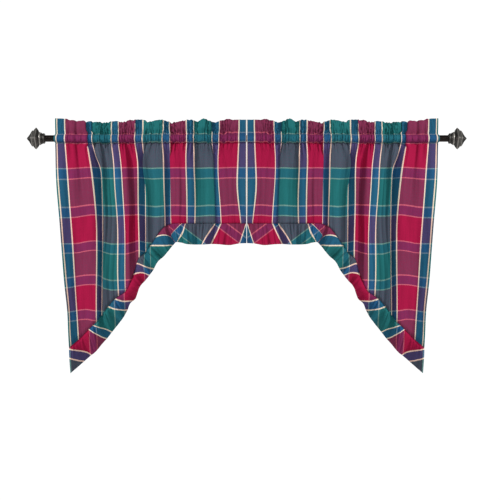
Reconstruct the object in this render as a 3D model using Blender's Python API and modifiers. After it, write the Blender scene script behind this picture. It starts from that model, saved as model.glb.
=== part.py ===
"""Swag and tail drape: a mirrored pair of gathered cloth panels, each with a ruffle sewn along its
lower edge, hanging by a rod pocket on a plain round rod with a square finial at each end.

Metres, +Z up, +X along the rod, and the front of the cloth faces -Y. The origin is on the axis of
the rod, halfway along it. Tables are in millimetres and are read through table().
"""

from collections import namedtuple

import bmesh
import bpy
import numpy as np

MM = 0.001

ROD_RADIUS = 0.012
ROD_SIDES = 32
COLLAR_MOUTH = 0.732  # from the centre to the open end of each finial's collar
SOCKET_DEPTH = 0.020  # how far the rod goes into the collar
FIT_GAP = 0.00035

CLOTH_THICKNESS = 0.0012
LAYER_OFFSET = 0.0015  # each of two stitched layers to the plane between them
LOWER_STITCH = -0.0163  # height of the stitching under the rod
HEM_ALLOWANCE = 0.005  # turned hem below that stitching, at the back
SEAM_ALLOWANCE = 0.008  # top of the ruffle behind the panel's lower edge
RUFFLE_SETBACK = 0.0031  # middle of the ruffle's top behind the middle of the panel
RUFFLE_FALL = (0.25, 0.5, 0.75, 1.0)  # rows from the seam to the ruffle's edge, as shares
RUFFLE_BULGE = 0.006  # how far the ruffle swells forward between its seam and its edge
LONG_FOLD = 0.043  # a half fold wider than this, laid flat, gets two more columns
FLANK_SHARES = (0.25, 0.75)

# One row for each crest or trough of a panel's folds, from its outer edge to the centre.
# flat: place across the flat cloth. pocket, upper, middle, hem: distance from the centre of the
# pair at four heights. pocket_depth, upper_depth, middle_depth, hem_depth: how far it stands forward.
Fold = namedtuple(
    "Fold",
    "flat pocket upper middle hem pocket_depth upper_depth middle_depth hem_depth",
)
FOLDS = [
    Fold(0, 694, 688, 671, 644, 0, 0, 0, 0),
    Fold(22, 673, 664, 648, 623, 1, 4, 6, 5),
    Fold(80, 622, 609, 593, 581, -1.5, -5, -4, -3),
    Fold(114, 594, 577, 560, 558, 2, 10, 10, 8),
    Fold(172, 559, 527, 522, 526, -2, -16, -17, -15),
    Fold(212, 531, 511, 502, 502, 2, 10, 12, 10),
    Fold(240, 510, 500, 488, 485, -1.5, -7, -4, -1),
    Fold(288, 476, 469, 455, 451, 1.5, 11, 13, 12),
    Fold(345, 439, 428, 421, 417, -2, -10, -16, -16),
    Fold(392, 410, 399, 397, 394, 2, 14, 16, 14),
    Fold(430, 381, 377, 371, 370, -2, -14, -14, -13),
    Fold(470, 352, 348, 343, 342, 1.5, 9, 11, 12),
    Fold(500, 330, 326, 322, 321, -1, -3, -2, 1),
    Fold(526, 312, 307, 304, 303, 1.5, 7, 8, 9),
    Fold(556, 289, 287, 286, 285, -2, -12, -14, -12),
    Fold(596, 262, 263, 262, 261, 2, 10, 12, 10),
    Fold(622, 246, 248, 247, 245, -1, -7, -5, -2),
    Fold(652, 227, 231, 229, 226, 1.5, 8, 9, 8),
    Fold(690, 201, 200, 198, 197, 0.5, 6, 7, 7),
    Fold(728, 175, 170, 168, 167, -2, -10, -10, -9),
    Fold(762, 152, 147, 144, 141, 2.5, 9, 9, 8),
    Fold(806, 123, 119, 115, 109, -2, -15, -16, -13),
    Fold(850, 93, 95, 92, 85, 1.5, 11, 13, 11),
    Fold(886, 64, 67, 67, 55, -1.5, -8, -6, -4),
    Fold(916, 40, 43, 46, 30, 1.5, 8, 8, 7),
    Fold(968, 1, 1, 1, 1, 0, -1, -2, -1),
]
# Where down the skirt, as shares of its length, the four sets of columns of FOLDS hold.
FOLD_LEVELS = (0.0, 0.18, 0.5, 1.0)

# The cloth from the hem behind the pocket, up over the top and down to the stitching under the rod.
# back: distance behind the rod's axis. up: height above it. top: share that follows TOP_EDGE in
# place of up. wave: how many times the fold's pocket_depth it moves.
Turn = namedtuple("Turn", "back up top wave")
TURNS = [
    Turn(1.5, -16.3, 0, 1.0),
    Turn(12.5, -11, 0, 0.5),
    Turn(17, 0, 0, 0.4),
    Turn(8.9, 9.9, 0, 0),
    Turn(1.5, 16.5, 0, 1.0),
    Turn(4.5, 43, 0.5, 2.2),
    Turn(2.6, 65, 1, 3.0),
    Turn(0, 67, 1, 3.0),
    Turn(-2.6, 65, 1, 3.0),
    Turn(-4.5, 43, 0.5, 2.2),
    Turn(-1.5, 16.5, 0, 1.0),
    Turn(-8.9, 9.9, 0, 0),
    Turn(-17, 0, 0, 0.4),
    Turn(-12.5, -11, 0, 0.5),
    Turn(-1.5, -16.3, 0, 1.0),
]
TOP_HEIGHT = 0.067  # height of the heading that TURNS is drawn for

# The uneven upper edge of the heading. out: distance from the centre of the pair.
Edge = namedtuple("Edge", "out height")
TOP_EDGE = [
    Edge(1, 67),
    Edge(44, 69),
    Edge(66, 72),
    Edge(95, 65.5),
    Edge(124, 61.5),
    Edge(155, 73),
    Edge(176, 65),
    Edge(200, 69),
    Edge(245, 63),
    Edge(270, 61.5),
    Edge(315, 69),
    Edge(335, 65.5),
    Edge(358, 61.5),
    Edge(378, 69),
    Edge(424, 69),
    Edge(450, 61.5),
    Edge(480, 65.5),
    Edge(504, 61.5),
    Edge(530, 62),
    Edge(560, 65),
    Edge(576, 58),
    Edge(592, 65),
    Edge(636, 67),
    Edge(656, 72),
    Edge(694, 72),
]

# The seam along a panel's lower edge, by place across the flat cloth.
Seam = namedtuple("Seam", "flat height")
SEAM = [
    Seam(0, -757),
    Seam(37, -731),
    Seam(130, -666),
    Seam(167, -642),
    Seam(267, -572),
    Seam(304, -556),
    Seam(397, -432),
    Seam(434, -412),
    Seam(534, -319),
    Seam(571, -310),
    Seam(600, -308.5),
    Seam(968, -308.5),
]
SKIRT_SHARES = (0.07, 0.19, 0.38, 0.64)  # rows between the pocket and the seam allowance

# The ruffle's free edge, by the place on the panel's flat cloth that it hangs from.
# forward: how far that point of the edge stands forward of its seam.
Hem = namedtuple("Hem", "flat out height forward")
HEM = [
    Hem(0, 639, -850, 2),
    Hem(22, 616, -831, 12),
    Hem(60, 578, -797, -6),
    Hem(100, 549, -774, 14),
    Hem(130, 531, -751, -8),
    Hem(167, 503, -719, 12),
    Hem(210, 476, -684, -8),
    Hem(240, 451, -653, 14),
    Hem(267, 436, -624, -6),
    Hem(285, 424, -599, 10),
    Hem(304, 407, -583, -4),
    Hem(345, 386, -535, 14),
    Hem(370, 369, -515, -6),
    Hem(397, 351, -495, 12),
    Hem(415, 338, -474, -4),
    Hem(434, 326, -452, 14),
    Hem(470, 302, -428, -8),
    Hem(500, 286, -411, 10),
    Hem(534, 269, -388, -6),
    Hem(571, 255, -376, 8),
    Hem(620, 237, -378, -8),
    Hem(664, 213, -384, 12),
    Hem(701, 188, -385, -6),
    Hem(750, 159, -385, 10),
    Hem(801, 130, -383, -8),
    Hem(838, 104, -384, 8),
    Hem(886, 64, -387, -6),
    Hem(931, 24, -381, 8),
    Hem(968, 1, -380, 2),
]

# The finial's head, square in section with its corners up, down, front and back.
# along: distance inward from its tip. corner: distance from the axis to a corner.
Station = namedtuple("Station", "along corner")
HEAD = [
    Station(0, 0),
    Station(19.2, 29),
    Station(23.5, 29.5),
    Station(25.4, 27.5),
    Station(27.5, 37.5),
    Station(35.9, 39),
    Station(40, 32),
    Station(47, 26),
    Station(54, 20),
    Station(58, 0),
]
COLLAR = [
    Station(46, 0),
    Station(46, 12),
    Station(52, 18.5),
    Station(55, 19.5),
    Station(57.5, 18.5),
    Station(59, 16.8),
    Station(62, 17),
    Station(64, 18.2),
    Station(66.5, 17.2),
    Station(66.5, 0),
]
FINIAL_LENGTH = 0.0665
HEAD_SIDES = 4
COLLAR_SIDES = 32

# name: red, green, blue, roughness, metallic
FINISHES = {
    "red_plaid_cloth": (0.24, 0.04, 0.08, 0.85, 0.0),
    "blue_plaid_cloth": (0.03, 0.12, 0.20, 0.85, 0.0),
    "dark_bronze_metal": (0.05, 0.045, 0.04, 0.35, 1.0),
    "pewter_metal": (0.16, 0.15, 0.14, 0.4, 1.0),
}


def clear_scene():
    for obj in list(bpy.data.objects):
        bpy.data.objects.remove(obj)
    for group in list(bpy.data.collections):
        bpy.data.collections.remove(group)


def make_collection(name):
    group = bpy.data.collections.new(name)
    bpy.context.scene.collection.children.link(group)
    return group


def make_material(name):
    red, green, blue, roughness, metallic = FINISHES[name]
    material = bpy.data.materials.new(name)
    material.use_nodes = True
    shader = material.node_tree.nodes["Principled BSDF"]
    shader.inputs["Base Color"].default_value = (red, green, blue, 1.0)
    shader.inputs["Roughness"].default_value = roughness
    shader.inputs["Metallic"].default_value = metallic
    return material


def add_object(name, mesh, material, group):
    mesh.materials.append(material)
    obj = bpy.data.objects.new(name, mesh)
    group.objects.link(obj)
    return obj


def table(rows, column):
    """One column of a table of millimetres, in metres."""
    return np.array([getattr(row, column) for row in rows], float) * MM


def slopes_of(places, values):
    """Slopes of a smooth curve through the points, flat at each crest and trough."""
    steps = np.diff(places)
    rises = np.diff(values) / steps
    slopes = np.zeros(len(places))
    slopes[0], slopes[-1] = rises[0], rises[-1]
    for i in range(1, len(places) - 1):
        before, after = rises[i - 1], rises[i]
        if before * after > 0:
            near = 2 * steps[i] + steps[i - 1]
            far = steps[i] + 2 * steps[i - 1]
            slopes[i] = (near + far) / (near / before + far / after)
    return slopes


def smooth(place, places, values):
    """Reads a smooth curve through (places, values) that never overshoots them."""
    place = min(max(place, places[0]), places[-1])
    i = min(int(np.searchsorted(places, place, side="right")) - 1, len(places) - 2)
    step = places[i + 1] - places[i]
    share = (place - places[i]) / step
    slopes = slopes_of(places, values)
    start = (1 + 2 * share) * (1 - share) ** 2 * values[i]
    end = share**2 * (3 - 2 * share) * values[i + 1]
    leave = share * (1 - share) ** 2 * step * slopes[i]
    arrive = share**2 * (share - 1) * step * slopes[i + 1]
    return start + end + leave + arrive


def columns_across():
    """Places across the flat cloth: each crest and trough, and two more in a long half fold."""
    flats = table(FOLDS, "flat")
    places = [flats[0]]
    for start, end in zip(flats[:-1], flats[1:]):
        if end - start > LONG_FOLD:
            places += [start + share * (end - start) for share in FLANK_SHARES]
        places.append(end)
    return places


def fold_at(flat, share):
    """Distance from the centre and depth of the cloth, a share of the way down the skirt."""
    flats = table(FOLDS, "flat")
    outs, depths = [], []
    for level in ("pocket", "upper", "middle", "hem"):
        outs.append(np.interp(flat, flats, table(FOLDS, level)))
        depths.append(smooth(flat, flats, table(FOLDS, level + "_depth")))
    return smooth(share, FOLD_LEVELS, outs), smooth(share, FOLD_LEVELS, depths)


def seam_height(flat):
    return smooth(flat, table(SEAM, "flat"), table(SEAM, "height"))


def skirt_point(flat, height):
    """A point on the middle of the skirt's cloth, at its place across the flat cloth."""
    share = (LOWER_STITCH - height) / (LOWER_STITCH - seam_height(flat))
    out, depth = fold_at(flat, share)
    return out, -LAYER_OFFSET - depth, height


def turn_point(flat, turn):
    """A point on the heading or the pocket."""
    out, depth = fold_at(flat, 0.0)
    edge = smooth(out, table(TOP_EDGE, "out"), table(TOP_EDGE, "height"))
    lift = (edge - TOP_HEIGHT) * turn.top
    return out, turn.back * MM - depth * turn.wave, turn.up * MM + lift


def panel_column(flat):
    """The points of one column of a panel, from the hem behind the pocket to the seam."""
    out, front, height = skirt_point(flat, LOWER_STITCH - HEM_ALLOWANCE)
    points = [(out, front + 2 * LAYER_OFFSET, height)]
    points += [turn_point(flat, turn) for turn in TURNS]
    top, bottom = LOWER_STITCH, seam_height(flat)
    heights = [top + share * (bottom - top) for share in SKIRT_SHARES]
    heights += [bottom + SEAM_ALLOWANCE, bottom]
    return points + [skirt_point(flat, height) for height in heights]


def ruffle_column(flat):
    """The points of one column of a ruffle, from its seam allowance to its free edge."""
    bottom = seam_height(flat)
    points = []
    for height in (bottom + SEAM_ALLOWANCE, bottom):
        out, front, height = skirt_point(flat, height)
        points.append((out, front + RUFFLE_SETBACK, height))
    seam = np.array(points[-1])
    flats = table(HEM, "flat")
    forward = smooth(flat, flats, table(HEM, "forward"))
    edge_out = smooth(flat, flats, table(HEM, "out"))
    edge_up = smooth(flat, flats, table(HEM, "height"))
    edge = np.array((edge_out, seam[1] - forward, edge_up))
    for share in RUFFLE_FALL:
        point = seam + share * (edge - seam)
        point[1] -= RUFFLE_BULGE * np.sin(np.pi * share)
        points.append(tuple(point))
    return points


def make_cloth(name, column, side, material, group):
    """A sheet through one column of points for each place across the cloth, given its thickness.

    side is -1 on the left of the pair and 1 on the right."""
    grid = [column(flat) for flat in columns_across()]
    shape = bmesh.new()
    verts = [[shape.verts.new((side * x, y, z)) for x, y, z in line] for line in grid]
    for here, beside in zip(verts[:-1], verts[1:]):
        for row in range(len(here) - 1):
            shape.faces.new((here[row], beside[row], beside[row + 1], here[row + 1]))
    mesh = bpy.data.meshes.new(name)
    shape.to_mesh(mesh)
    shape.free()
    mesh.shade_smooth()
    cloth = add_object(name, mesh, material, group)
    solidify = cloth.modifiers.new("thickness", "SOLIDIFY")
    solidify.thickness = CLOTH_THICKNESS
    solidify.offset = 0.0
    return cloth


def make_turned(name, stations, sides, material, group):
    """A profile turned about Z, with its tip up, so that a station's along goes down."""
    shape = bmesh.new()
    verts = [shape.verts.new((s.corner * MM, 0, -s.along * MM)) for s in stations]
    for start, end in zip(verts[:-1], verts[1:]):
        shape.edges.new((start, end))
    mesh = bpy.data.meshes.new(name)
    shape.to_mesh(mesh)
    shape.free()
    turned = add_object(name, mesh, material, group)
    screw = turned.modifiers.new("turn", "SCREW")
    screw.steps = sides
    screw.render_steps = sides
    screw.use_merge_vertices = True
    screw.merge_threshold = 0.00001
    screw.use_normal_calculate = True
    return turned


def make_rod(material, group):
    bpy.ops.mesh.primitive_cylinder_add(
        vertices=ROD_SIDES,
        radius=ROD_RADIUS,
        depth=2 * (COLLAR_MOUTH + SOCKET_DEPTH),
        rotation=(0, np.pi / 2, 0),
    )
    rod = bpy.context.object
    rod.name = rod.data.name = "rod"
    rod.data.materials.append(material)
    rod.data.shade_smooth()
    rod.data.set_sharp_from_angle(angle=np.radians(40))
    for old in list(rod.users_collection):
        old.objects.unlink(rod)
    group.objects.link(rod)


def make_finial(name, side, material, group, cutters):
    """A square head on a round collar, with a socket that the end of the rod goes into."""
    tip = side * (COLLAR_MOUTH + FINIAL_LENGTH)
    head = make_turned(name, HEAD, HEAD_SIDES, material, group)
    collar = make_turned(name + "_collar", COLLAR, COLLAR_SIDES, material, cutters)
    bpy.ops.mesh.primitive_cylinder_add(
        vertices=ROD_SIDES,
        radius=ROD_RADIUS + FIT_GAP,
        depth=2 * (SOCKET_DEPTH + FIT_GAP),
        location=(side * COLLAR_MOUTH, 0, 0),
        rotation=(0, np.pi / 2, 0),
    )
    socket = bpy.context.object
    socket.name = name + "_socket"
    for old in list(socket.users_collection):
        old.objects.unlink(socket)
    cutters.objects.link(socket)
    for piece in (head, collar):
        piece.location = (tip, 0, 0)
        piece.rotation_euler = (0, side * np.pi / 2, 0)
    for helper, operation in ((collar, "UNION"), (socket, "DIFFERENCE")):
        helper.hide_render = True
        helper.display_type = "WIRE"
        boolean = head.modifiers.new(helper.name, "BOOLEAN")
        boolean.operation = operation
        boolean.object = helper
        boolean.solver = "EXACT"


def main():
    clear_scene()
    drape = make_collection("swag_and_tail_drape")
    cutters = make_collection("cutters")
    cutters.hide_render = True
    finish = {name: make_material(name) for name in FINISHES}
    make_rod(finish["dark_bronze_metal"], drape)
    for word, side in (("left", -1), ("right", 1)):
        make_cloth("panel_" + word, panel_column, side, finish["red_plaid_cloth"], drape)
        make_cloth("ruffle_" + word, ruffle_column, side, finish["blue_plaid_cloth"], drape)
        make_finial("finial_" + word, side, finish["pewter_metal"], drape, cutters)


main()
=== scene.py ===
import bmesh
import bpy
import numpy as np
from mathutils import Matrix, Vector


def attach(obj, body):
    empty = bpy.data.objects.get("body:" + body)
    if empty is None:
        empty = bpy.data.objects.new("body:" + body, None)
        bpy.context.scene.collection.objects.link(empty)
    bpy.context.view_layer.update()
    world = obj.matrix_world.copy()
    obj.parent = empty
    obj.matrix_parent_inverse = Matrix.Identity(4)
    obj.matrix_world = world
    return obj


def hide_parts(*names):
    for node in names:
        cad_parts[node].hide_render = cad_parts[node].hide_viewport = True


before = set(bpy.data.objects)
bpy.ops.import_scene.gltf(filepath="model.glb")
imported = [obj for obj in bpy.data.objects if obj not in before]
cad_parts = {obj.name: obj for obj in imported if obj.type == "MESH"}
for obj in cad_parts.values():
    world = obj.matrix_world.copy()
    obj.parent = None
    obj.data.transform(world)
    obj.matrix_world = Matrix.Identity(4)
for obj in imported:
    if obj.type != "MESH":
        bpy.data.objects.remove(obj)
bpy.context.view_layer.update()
print("frame loaded")

millimetre = 0.001


def readTable(names, rows):
    # millimetres in, a dictionary of columns in metres out
    columns = zip(names.split(), zip(*rows))
    return {name: np.array(values, float) * millimetre for name, values in columns}


# the hang of one panel: a row for each crest or trough, from its outer edge to the centre of the pair
# flat: place across the flat cloth, then distance from the centre at four heights, then how far it
# stands forward there
folds = readTable("flat pocket upper middle hem pocketDepth upperDepth middleDepth hemDepth", [
    (0, 694, 688, 671, 643, 3, 5, 13, 15),
    (22, 673, 664, 648, 623, 1, 3.5, 4, 4.5),
    (37, 660, 650, 634, 612, -0.5, 0, -3, -3),
    (50, 648, 637, 621, 602, 0, 4, -4.5, -4.5),
    (64, 636, 624, 609, 593, 0.5, 8, -2, -2),
    (80, 622, 609, 594, 581, 0, 5, 2, 2),
    (96, 609, 594, 578, 570, 0.5, 6, 8, 8),
    (126, 585, 565.5, 546.5, 548, 2, 14, 14, 13),
    (130, 579, 560.5, 542.5, 544, 1.5, 13, 13, 12),
    (148, 569, 544, 533.5, 536, -1, -1, 1, 2),
    (163, 562, 532, 527, 530.5, -2.5, -14, -10, -10),
    (171, 558.5, 526, 520.5, 524, -3, -14.5, -9, -9),
    (188, 546, 523, 517, 518, 2, 10, 8, 10),
    (215, 528, 512, 503, 503, 0, -1, 1, 2),
    (240, 510, 500, 489, 487, -2, -3.5, -1, -1),
    (267, 491, 483, 471.5, 466, -3, -6, -2, -5),
    (304, 465.5, 456, 444.5, 440.5, -0.5, -5, 2, -2),
    (330, 448.7, 437, 429.5, 425.5, 1, 4.5, 5, 3),
    (345, 439, 427, 421, 417, 1, -5, -4, -5),
    (357, 431.6, 419.5, 414, 410, -0.5, -14, -13, -14),
    (366, 425, 414, 410, 406, -0.5, -15, -14, -16),
    (380, 416, 407, 403.5, 400, 0, -6, -7, -9),
    (397, 406, 396.6, 393.6, 391, 2.5, 7, 6, 3),
    (415, 393, 384.5, 381.5, 379.6, 0, -4, -3, -5),
    (434, 378.5, 371, 367.5, 367.6, -2, -14, -12, -14),
    (448, 368, 379, 364, 359.5, -1, 5, 7, 6),
    (460, 359.4, 370, 354, 350, 1, 3, -1, 0),
    (472, 350.5, 359, 344.5, 340.6, 1, -1, -5, -3),
    (500, 330, 333, 323, 321, -0.5, 0, -1, 1),
    (522, 314.8, 312.7, 307.8, 305.8, 1, 3, 1.5, 1),
    (534, 306, 303, 299.7, 298, 0.5, 1, -1, -3),
    (553, 291.3, 288.3, 287, 286.8, -1.5, -9, -15, -14),
    (567, 281, 277.5, 277, 277.5, -1.5, -11, -15, -12),
    (585, 270, 279, 278, 269, -0.5, 0, -4, -2),
    (606, 256, 260, 257.9, 255, 0, 7, 5, 9),
    (624, 245, 247, 246, 244, 0.8, 6, 7, 13),
    (644, 232, 235, 233.5, 231, 2, 4, 4, 9),
    (664, 219, 221, 219, 217, 2.5, 9, 8, 7),
    (685, 204.4, 204, 202, 200.8, 1.5, 7, 5, 6),
    (701, 193.5, 191.3, 189.3, 188.3, 0.5, 2.5, 1, 4),
    (716, 183, 179.5, 177.5, 176.5, -1.5, -5, -6, 1),
    (732, 172.3, 167, 165, 163.8, -2.5, -8.5, -10, -2),
    (750, 160, 154.5, 151.8, 149.5, -1, -7, -9, -2),
    (766, 149, 142, 138.8, 135.8, 1, -3, -5, 2),
    (782, 138, 125, 122, 119, 1.5, -2, -4, 2),
    (790, 134, 119.5, 116.6, 113.5, 1, -4, -4, 0),
    (803, 125, 122.5, 120.4, 116.5, -1, -10, -11, -7),
    (822, 113, 113, 109, 104, -1, -8, -9, -6),
    (838, 101.6, 105, 101.5, 95, 0, -5, -6, -4),
    (850, 93, 96, 93, 86, 1, -1, -1, 0),
    (868, 78.5, 81, 79.5, 70, 0.5, 2, 3, 5),
    (884, 65.6, 68.6, 67.5, 56.7, 0.5, 4, 7, 9),
    (900, 52.8, 56, 58, 44, 1, 7, 8.5, 11),
    (916, 41, 44, 49, 28, 2, 9, 10, 12.5),
    (931, 30, 31.6, 37, 20, 2.5, 10, 11, 13),
    (968, 1, 1, 1, 1, 2, 10, 11, 13),
])
panelWidth = folds["flat"][-1]
foldLevels = np.array([0.0, 0.18, 0.5, 1.0])  # shares of the skirt's length where those columns hold

# height of the seam between panel and ruffle
seamLine = readTable("flat height", [
    (0, -757), (37, -731), (130, -666), (167, -642), (267, -572), (304, -556), (397, -432),
    (434, -412), (534, -319), (571, -310), (600, -308.5), (968, -308.5),
])

drape = {
    "lowerStitch": -0.0163, "upperStitch": 0.0165,  # heights, from the rod's axis
    "layerOffset": 0.00095,  # each stitched layer to the plane between them
    "topHeight": 0.067,
    "topPlace": -0.0579,  # place of the top fold down the flat cloth
    "stitchRows": (-0.158, -0.111, -0.0044, 0.0385),  # places of both rows, behind and in front
    "seamAllowance": 0.008,
    "thickness": 0.0016,  # at the hems, which are double
    "singleShare": 0.5, "hemWidth": 0.010,
    "cutPast": 0.0075,  # how far the outer edge is cut into the next band
    "cutReach": 0.024,  # and how far in that is felt
    "rounding": 0.006,  # how far the corners of the folds are rounded off
    "columns": 440, "turnRows": 60, "skirtRows": 46,
    "rowSpacing": 1.35,  # over 1, rows are closer at the top of the skirt
}


def hermite(share, start, end, leave, arrive):
    # a cubic between two values, with the slopes at which it leaves and arrives
    rise = (1 + 2 * share) * (1 - share) ** 2 * start + share**2 * (3 - 2 * share) * end
    return rise + share * (1 - share) ** 2 * leave + share**2 * (share - 1) * arrive


def smoothThrough(knots, values, places):
    # a smooth curve through the knots that never overshoots; values may hold a column for each place
    values = np.asarray(values, float)
    values = values[:, None] if values.ndim == 1 else values
    steps = np.diff(knots)[:, None]
    rises = np.diff(values, axis=0) / steps
    before, after = rises[:-1], rises[1:]
    near, far = 2 * steps[1:] + steps[:-1], steps[1:] + 2 * steps[:-1]
    agree = before * after > 0
    blend = near / np.where(agree, before, 1) + far / np.where(agree, after, 1)
    middle = np.where(agree, (near + far) / np.where(agree, blend, 1), 0)
    slopes = np.vstack([rises[:1], middle, rises[-1:]])
    places = np.clip(places, knots[0], knots[-1])
    cell = np.clip(np.searchsorted(knots, places, side="right") - 1, 0, len(knots) - 2)
    column = np.arange(values.shape[1]) if values.shape[1] > 1 else 0
    step = steps[cell, 0]
    share = (places - np.asarray(knots)[cell]) / step
    leave, arrive = step * slopes[cell, column], step * slopes[cell + 1, column]
    return hermite(share, values[cell, column], values[cell + 1, column], leave, arrive)


def columnAt(table, name, flat):
    return smoothThrough(table["flat"], table[name], flat)


def wander(places, spacing, seed):
    # a smooth random curve between -1 and 1
    low, high = np.min(places) - spacing, np.max(places) + spacing
    knots = np.arange(low, high + spacing, spacing)
    values = np.random.default_rng(seed).uniform(-1, 1, len(knots))
    return smoothThrough(knots, values, places)


def easeIn(share):
    share = np.clip(share, 0, 1)
    return share * share * (3 - 2 * share)


def easeFrom(value, start, rise):
    # 0 up to the start and 1 from the end of the rise
    return easeIn((value - start) / rise)


def insideEdges(flat, width):
    # 0 at both side edges of the panel and 1 a width in from them
    return easeIn(flat / width) * easeIn((panelWidth - flat) / width)


def hump(place, centre, width):
    return np.exp(-(((place - centre) / width) ** 2))


# small uneven gathers: how their spacing and size drift, and the two waves that make one
gatherShape = {
    "drift": 2.4, "driftLength": 2.6, "size": 0.75, "sizeDrift": 0.25, "sizeLength": 1.7,
    "wave": 0.85, "peak": 0.22,
}


def gathers(places, length, seed):
    # uneven small gathers with round crests and tighter valleys
    shape = gatherShape
    drift = shape["drift"] * wander(places, shape["driftLength"] * length, seed)
    turn = 2 * np.pi * places / length + drift
    size = shape["size"] + shape["sizeDrift"] * wander(places, shape["sizeLength"] * length, seed + 1)
    return size * (shape["wave"] * np.sin(turn) + shape["peak"] * np.cos(2 * turn))


# small gathers at the stitching, in millimetres: each number is picked at random between two limits
pinches = {
    "seed": 5, "first": 6, "spacing": (8, 20), "depth": (4.0, 9.5), "width": (2.2, 5.0),
    "fade": (12, 85), "slant": (-160, 160), "spread": 0.14,
}
sidePull = {"step": 0.0015, "pull": 0.0012, "steepest": 2}

# long creases below the stitching, placed one by one. spread: how fast they widen on the way down
creases = readTable("flat depth width fade slant spread", [
    (85, 5, 4, 160, 0, 20), (92, 3, 9, 160, 0, 20), (124, 4, 2.8, 160, 0, 10),
    (106, 5, 4, 20, -150, 140), (179, 8, 6, 40, 60, 80), (345, 4, 6, 60, 120, 140),
    (452, 6, 4, 32, 250, 140), (592, 5, 5, 50, 60, 140), (612, 4, 6, 60, 0, 140),
    (862, 5, 5, 40, 100, 140), (726, 3, 6, 80, 0, 140),
])

# how tightly the cloth is gathered on the rod, in thousandths
tightness = readTable("flat amount", [
    (0, 100), (30, 250), (55, 500), (72, 150), (92, 150), (104, 350), (122, 250), (150, 250),
    (172, 750), (195, 1300), (240, 1250), (267, 900), (300, 900), (330, 1000), (385, 900),
    (410, 450), (450, 700), (500, 600), (534, 1000), (585, 1250), (620, 850), (664, 800),
    (700, 1100), (722, 1000), (750, 300), (778, 1100), (838, 1100), (880, 900), (920, 500),
    (945, 150), (968, 50),
])


def tightAt(flat):
    return columnAt(tightness, "amount", np.atleast_1d(flat))


def makePinches():
    # rows of place, depth, width, fade, slant and spread
    pick = np.random.default_rng(pinches["seed"])
    rows, place = [], pinches["first"] * millimetre
    while place < panelWidth:
        picked = [pick.uniform(*pinches[key]) * millimetre for key in ("depth", "width", "fade", "slant")]
        rows.append((place, picked[0] * tightAt(place)[0], *picked[1:], pinches["spread"]))
        place += pick.uniform(*pinches["spacing"]) * millimetre
    return rows + list(zip(*creases.values()))


panelPinches = makePinches()


def pinchDepth(flat, below, reach=1.0):
    # how far the small gathers draw the cloth in, a distance below the stitching
    below = np.abs(below)
    total = np.zeros(np.broadcast(flat, below).shape)
    for place, depth, width, fade, slant, spread in panelPinches:
        near = hump(flat, place + slant * below, width + spread * below)
        total += depth * np.exp(-below / (fade * reach)) * near
    return total


def pinchPull(flat, below, reach=1.0):
    # how far they draw it sideways
    step, steepest = sidePull["step"], sidePull["steepest"]
    rise = pinchDepth(flat + step, below, reach) - pinchDepth(flat - step, below, reach)
    return sidePull["pull"] * np.clip(rise / (2 * step), -steepest, steepest)


# short creases, with lengths and depth in millimetres
crinkles = {
    "seed": 9, "waves": 14, "shortest": 11, "longest": 27, "slant": 0.65, "phase": 6.28,
    "depth": 6.4, "crest": 1.35, "softness": 0.1,
}


def crinkleDepth(flat, down, seed):
    # short creases that run every way but mostly down
    pick = np.random.default_rng(crinkles["seed"] + seed)
    total = 0
    for _ in range(crinkles["waves"]):
        length = pick.uniform(crinkles["shortest"], crinkles["longest"]) * millimetre
        angle = pick.normal(0, crinkles["slant"])
        along = flat * np.cos(angle) + down * np.sin(angle)
        total = total + np.sin(2 * np.pi * along / length + pick.uniform(0, crinkles["phase"]))
    total = total / np.sqrt(crinkles["waves"] / 2)
    crease = (total**2 + crinkles["softness"]) ** 0.25
    return crinkles["depth"] * millimetre * (1 - crinkles["crest"] * crease)


def foldAt(flat, share):
    # distance from the centre and depth of the cloth, a share of the way down the skirt
    levels = ("pocket", "upper", "middle", "hem")
    outs = [np.interp(flat, folds["flat"], folds[level]) for level in levels]
    depths = [columnAt(folds, level + "Depth", flat) for level in levels]
    return [smoothThrough(foldLevels, np.array(columns), share) for columns in (outs, depths)]


def roundedFold(flat, share):
    # the same with its corners rounded off, but not at the side edges
    near = drape["rounding"]
    out, depth = foldAt(flat, share)
    soft = (foldAt(flat - near, share)[0] + 2 * out + foldAt(flat + near, share)[0]) / 4
    inner = (flat > near) & (flat < panelWidth - near)
    return np.where(inner, soft, out), depth


def seamHeight(flat):
    return columnAt(seamLine, "height", flat)


# how far the weave has slipped down, at four heights of the skirt
weaveSag = readTable("flat high middle low foot", [
    (0, 7, 4, 0, 6), (22, 7, 4, -2, 4), (60, 5, 2, -8, -1), (85, 1, -3, -11, -2),
    (120, -3, -7, -12, 2), (190, 0, 0, 2, 4), (240, 1, 6, 9, 4), (300, -1, 6, 8, 2),
    (355, -3, 0, 4, 0), (390, -4, -6, -4, 0), (440, 0, 0, 0, 0), (487, 3.5, 2, 0, 0),
    (530, 1, 0, 0, 0), (600, -1, -1, 0, 0), (700, 2, 2, 0, 0), (770, -1, -1, 0, 0),
    (830, 1, 1, 0, 0), (900, -2, -2, 0, 0), (968, 1, 1, 0, 0),
])
sagLevels = np.array([0.0163, 0.28, 0.4, 0.52, 0.64])  # heights below the rod that those hold at


def sagAt(flat, height):
    levels = [columnAt(weaveSag, name, flat) for name in ("high", "middle", "low", "foot")]
    return smoothThrough(sagLevels, np.array([0 * flat] + levels), -height)


# how far the weave is shifted down at the two rows of stitching
weaveRise = readTable("flat upper lower", [
    (0, 1, 0), (60, 2, -2), (110, 1, -3), (150, 0, -3), (200, 2, 2), (267, 1, 3), (290, -1, 3),
    (350, 5, -2), (415, -5, 1), (450, 0, 1), (490, 6, 7), (534, 7, 6), (555, 8, 7), (600, 3, 2),
    (640, 3, 3), (680, 6, 5), (740, 5, 3), (800, 5, 3), (860, 6, 4), (890, 12, 5), (968, 12, 6),
])

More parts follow.
